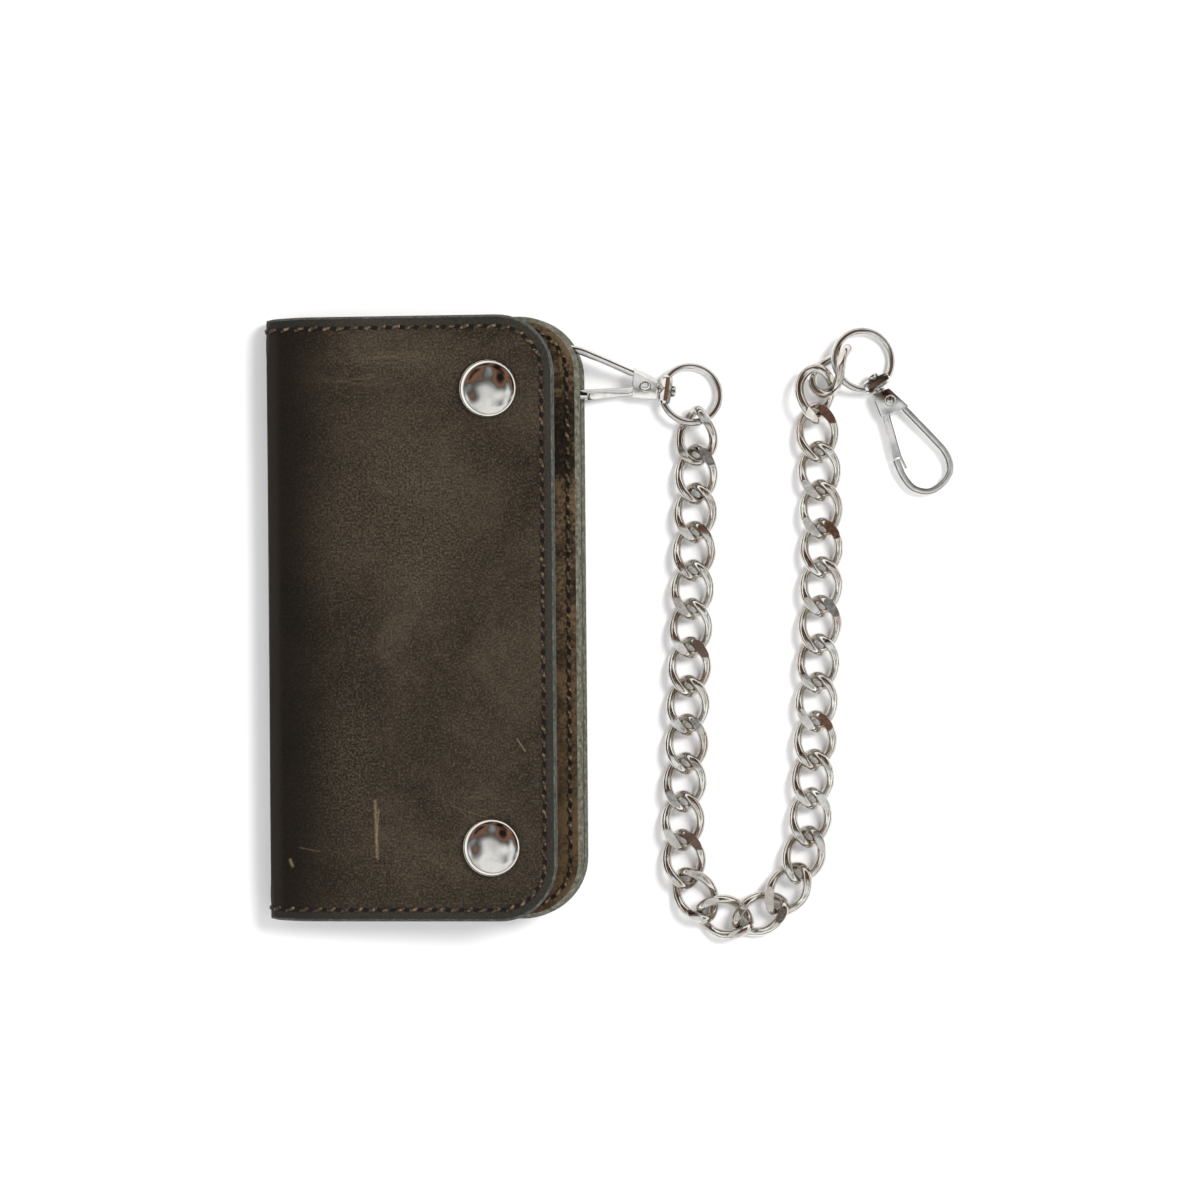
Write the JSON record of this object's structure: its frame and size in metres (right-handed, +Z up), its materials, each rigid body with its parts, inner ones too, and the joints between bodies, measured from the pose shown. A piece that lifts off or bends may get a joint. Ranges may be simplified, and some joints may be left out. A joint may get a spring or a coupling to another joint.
{
  "type": "chain wallet",
  "caption": "Long snap-fastened leather bifold wallet with a curb chain that runs from a D-ring inside its bill pocket to a swivel snap hook for a belt loop.",
  "frame": {"origin": "middle of the wallet's back face, on the surface that it lies on", "axes": "+X from the spine to the open edge, where the chain lies; +Y along the spine to the end where the chain is fastened; +Z up, out of the front cover"},
  "size_m": [0.2036, 0.1849, 0.022],
  "materials": {
    "pull_up_leather": "waxed pull-up leather, dark olive brown, scuffed",
    "nubuck_leather": "matt nubuck side of the same leather",
    "lining_leather": "suede split lining",
    "thread": "twisted waxed thread, brown",
    "chain_nickel": "nickel-plated steel wire, filed and polished",
    "hook_nickel": "nickel-plated zinc casting, polished",
    "snap_nickel": "nickel-plated brass, polished",
    "spring_steel": "spring steel wire"
  },
  "bodies": {
    "wallet_back": {"back_cover": "pull_up_leather", "bill_pocket_lining": "lining_leather", "back_inner_panel": "nubuck_leather", "card_pocket": "nubuck_leather", "back_stitching": "thread", "chain_tab": "pull_up_leather", "snap_stud_upper": "snap_nickel", "snap_stud_lower": "snap_nickel", "snap_stud_post_upper": "snap_nickel", "snap_stud_post_lower": "snap_nickel"},
    "wallet_spine": {"spine": "pull_up_leather"},
    "wallet_flap": {"front_cover": "pull_up_leather", "front_inner_panel": "nubuck_leather", "coin_pocket": "nubuck_leather", "front_stitching": "thread", "snap_cap_upper": "snap_nickel", "snap_cap_lower": "snap_nickel", "snap_socket_upper": "snap_nickel", "snap_socket_lower": "snap_nickel"},
    "d_ring": {"d_ring": "hook_nickel"},
    "near_hook": {"near_hook_body": "hook_nickel", "near_gate_pin": "hook_nickel", "near_gate_spring": "spring_steel"},
    "near_gate": {"near_hook_gate": "hook_nickel"},
    "near_ring": {"near_swivel_ring": "hook_nickel"},
    "link_01": {"link_01": "chain_nickel"},
    "link_02": {"link_02": "chain_nickel"},
    "link_03": {"link_03": "chain_nickel"},
    "link_04": {"link_04": "chain_nickel"},
    "link_05": {"link_05": "chain_nickel"},
    "link_06": {"link_06": "chain_nickel"},
    "link_07": {"link_07": "chain_nickel"},
    "link_08": {"link_08": "chain_nickel"},
    "link_09": {"link_09": "chain_nickel"},
    "link_10": {"link_10": "chain_nickel"},
    "link_11": {"link_11": "chain_nickel"},
    "link_12": {"link_12": "chain_nickel"},
    "link_13": {"link_13": "chain_nickel"},
    "link_14": {"link_14": "chain_nickel"},
    "link_15": {"link_15": "chain_nickel"},
    "link_16": {"link_16": "chain_nickel"},
    "link_17": {"link_17": "chain_nickel"},
    "link_18": {"link_18": "chain_nickel"},
    "link_19": {"link_19": "chain_nickel"},
    "link_20": {"link_20": "chain_nickel"},
    "link_21": {"link_21": "chain_nickel"},
    "link_22": {"link_22": "chain_nickel"},
    "link_23": {"link_23": "chain_nickel"},
    "link_24": {"link_24": "chain_nickel"},
    "link_25": {"link_25": "chain_nickel"},
    "link_26": {"link_26": "chain_nickel"},
    "link_27": {"link_27": "chain_nickel"},
    "link_28": {"link_28": "chain_nickel"},
    "link_29": {"link_29": "chain_nickel"},
    "link_30": {"link_30": "chain_nickel"},
    "far_ring": {"far_swivel_ring": "hook_nickel"},
    "far_hook": {"far_hook_body": "hook_nickel", "far_gate_pin": "hook_nickel", "far_gate_spring": "spring_steel"},
    "far_gate": {"far_hook_gate": "hook_nickel"}
  },
  "joints": [
    {"name": "cover_fold", "type": "hinge", "parent": "wallet_back", "child": "wallet_spine", "pos_m": [-0.047, 0, 0], "axis": [0, -1, 0], "range_deg": [0, 90]},
    {"name": "flap_fold", "type": "hinge", "parent": "wallet_spine", "child": "wallet_flap", "pos_m": [-0.047, 0, 0.01146], "axis": [0, -1, 0], "range_deg": [0, 83.55]},
    {"name": "d_ring_swing", "type": "hinge", "parent": "wallet_back", "child": "d_ring", "pos_m": [0.02783, 0.07227, 0.00573], "axis": [0, -1, 0], "range_deg": [0, 4]},
    {"name": "hook_near_turn", "type": "hinge", "parent": "d_ring", "child": "near_hook", "pos_m": [0.03857, 0.07227, 0.0069], "axis": [0, 0, 1], "range_deg": [-5, 5]},
    {"name": "gate_near_open", "type": "hinge", "parent": "near_hook", "child": "near_gate", "pos_m": [0.06496, 0.06897, 0.00483], "axis": [-0.0169, 0.4309, -0.9023], "range_deg": [0, 20], "stiffness_Nm_per_rad": 0.02, "springref_deg": -20.05},
    {"name": "gate_far_open", "type": "hinge", "parent": "far_hook", "child": "far_gate", "pos_m": [0.13753, 0.0634, 0.0032], "axis": [0.0145, -0.0267, 0.9995], "range_deg": [0, 20], "stiffness_Nm_per_rad": 0.02, "springref_deg": -20.05},
    {"name": "hook_near_swivel", "type": "hinge", "parent": "near_hook", "child": "near_ring", "pos_m": [0.0711, 0.067, 0.00378], "axis": [-0.9827, 0.1592, 0.0944], "continuous": true},
    {"name": "link_01_hang", "type": "hinge", "parent": "near_ring", "child": "link_01", "pos_m": [0.08036, 0.05733, 0.00489], "axis": [-0.9998, 0.021, 0], "range_deg": [-20, 15]},
    {"name": "link_02_bend", "type": "hinge", "parent": "link_01", "child": "link_02", "pos_m": [0.08012, 0.04778, 0.0035], "axis": [0, 0, 1], "range_deg": [-7, 7]},
    {"name": "link_03_bend", "type": "hinge", "parent": "link_02", "child": "link_03", "pos_m": [0.07983, 0.03634, 0.003], "axis": [-0.9995, 0.0326, 0], "range_deg": [-15, 15]},
    {"name": "link_04_bend", "type": "hinge", "parent": "link_03", "child": "link_04", "pos_m": [0.07937, 0.02492, 0.003], "axis": [0, 0, -1], "range_deg": [-7, 7]},
    {"name": "link_05_bend", "type": "hinge", "parent": "link_04", "child": "link_05", "pos_m": [0.07881, 0.01351, 0.003], "axis": [0.9988, -0.0486, 0], "range_deg": [-15, 15]},
    {"name": "link_06_bend", "type": "hinge", "parent": "link_05", "child": "link_06", "pos_m": [0.07826, 0.00209, 0.003], "axis": [0, 0, 1], "range_deg": [-7, 7]},
    {"name": "link_07_bend", "type": "hinge", "parent": "link_06", "child": "link_07", "pos_m": [0.07774, -0.00934, 0.003], "axis": [-0.999, 0.0453, 0], "range_deg": [-15, 15]},
    {"name": "link_08_bend", "type": "hinge", "parent": "link_07", "child": "link_08", "pos_m": [0.07722, -0.02077, 0.003], "axis": [0, 0, -1], "range_deg": [-7, 7]},
    {"name": "link_09_bend", "type": "hinge", "parent": "link_08", "child": "link_09", "pos_m": [0.0767, -0.03222, 0.003], "axis": [0.9989, -0.0463, 0], "range_deg": [-15, 15]},
    {"name": "link_10_bend", "type": "hinge", "parent": "link_09", "child": "link_10", "pos_m": [0.07616, -0.04364, 0.003], "axis": [0, 0, 1], "range_deg": [-7, 7]},
    {"name": "link_11_bend", "type": "hinge", "parent": "link_10", "child": "link_11", "pos_m": [0.07547, -0.05505, 0.003], "axis": [-0.9986, 0.053, 0], "range_deg": [-15, 15]},
    {"name": "link_12_bend", "type": "hinge", "parent": "link_11", "child": "link_12", "pos_m": [0.07495, -0.06645, 0.003], "axis": [0, 0, -1], "range_deg": [-7, 7]},
    {"name": "link_13_bend", "type": "hinge", "parent": "link_12", "child": "link_13", "pos_m": [0.07581, -0.07783, 0.003], "axis": [0.9526, 0.3042, 0], "range_deg": [-15, 15]},
    {"name": "link_14_bend", "type": "hinge", "parent": "link_13", "child": "link_14", "pos_m": [0.0817, -0.08759, 0.003], "axis": [0, 0, 1], "range_deg": [-15, 0]},
    {"name": "link_15_bend", "type": "hinge", "parent": "link_14", "child": "link_15", "pos_m": [0.09261, -0.09093, 0.003], "axis": [0.0691, -0.9976, 0], "range_deg": [-5, 5]},
    {"name": "link_16_bend", "type": "hinge", "parent": "link_15", "child": "link_16", "pos_m": [0.10295, -0.08612, 0.003], "axis": [0, 0, -1], "range_deg": [0, 15]},
    {"name": "link_17_bend", "type": "hinge", "parent": "link_16", "child": "link_17", "pos_m": [0.10944, -0.07674, 0.003], "axis": [-0.905, 0.4254, 0], "range_deg": [-15, 15]},
    {"name": "link_18_bend", "type": "hinge", "parent": "link_17", "child": "link_18", "pos_m": [0.11253, -0.06575, 0.003], "axis": [0, 0, 1], "range_deg": [-7, 7]},
    {"name": "link_19_bend", "type": "hinge", "parent": "link_18", "child": "link_19", "pos_m": [0.11344, -0.05437, 0.003], "axis": [0.9973, -0.0739, 0], "range_deg": [-15, 15]},
    {"name": "link_20_bend", "type": "hinge", "parent": "link_19", "child": "link_20", "pos_m": [0.11422, -0.04297, 0.003], "axis": [0, 0, -1], "range_deg": [-7, 7]},
    {"name": "link_21_bend", "type": "hinge", "parent": "link_20", "child": "link_21", "pos_m": [0.11484, -0.03156, 0.003], "axis": [-0.9986, 0.0519, 0], "range_deg": [-15, 15]},
    {"name": "link_22_bend", "type": "hinge", "parent": "link_21", "child": "link_22", "pos_m": [0.1154, -0.02014, 0.003], "axis": [0, 0, 1], "range_deg": [-12, 12]},
    {"name": "link_23_bend", "type": "hinge", "parent": "link_22", "child": "link_23", "pos_m": [0.11596, -0.00872, 0.003], "axis": [0.9988, -0.0493, 0], "range_deg": [-15, 15]},
    {"name": "link_24_bend", "type": "hinge", "parent": "link_23", "child": "link_24", "pos_m": [0.11653, 0.00269, 0.003], "axis": [0, 0, -1], "range_deg": [-12, 12]},
    {"name": "link_25_bend", "type": "hinge", "parent": "link_24", "child": "link_25", "pos_m": [0.11696, 0.01412, 0.003], "axis": [-0.9998, 0.0223, 0], "range_deg": [-15, 15]},
    {"name": "link_26_bend", "type": "hinge", "parent": "link_25", "child": "link_26", "pos_m": [0.11704, 0.02555, 0.003], "axis": [0, 0, 1], "range_deg": [-12, 12]},
    {"name": "link_27_bend", "type": "hinge", "parent": "link_26", "child": "link_27", "pos_m": [0.11676, 0.03697, 0.003], "axis": [0.9995, 0.0327, 0], "range_deg": [-15, 15]},
    {"name": "link_28_bend", "type": "hinge", "parent": "link_27", "child": "link_28", "pos_m": [0.11629, 0.04837, 0.003], "axis": [0, 0, -1], "range_deg": [-12, 12]},
    {"name": "link_29_bend", "type": "hinge", "parent": "link_28", "child": "link_29", "pos_m": [0.11563, 0.05979, 0.00368], "axis": [-0.9988, -0.0489, 0], "range_deg": [-6, 15]},
    {"name": "link_30_bend", "type": "hinge", "parent": "link_29", "child": "link_30", "pos_m": [0.11614, 0.06956, 0.00579], "axis": [0, 0, 1], "range_deg": [-15, 0]},
    {"name": "ring_far_hang", "type": "hinge", "parent": "link_30", "child": "far_ring", "pos_m": [0.12162, 0.07295, 0.006], "axis": [0.2993, -0.9539, 0.0234], "range_deg": [-10, 10]},
    {"name": "hook_far_swivel", "type": "hinge", "parent": "far_ring", "child": "far_hook", "pos_m": [0.13352, 0.06856, 0.00339], "axis": [0.4769, -0.8784, -0.0304], "continuous": true}
  ],
  "couplings": [
    {"joint": "flap_fold", "follows": "cover_fold", "ratio": 0.92833}
  ]
}
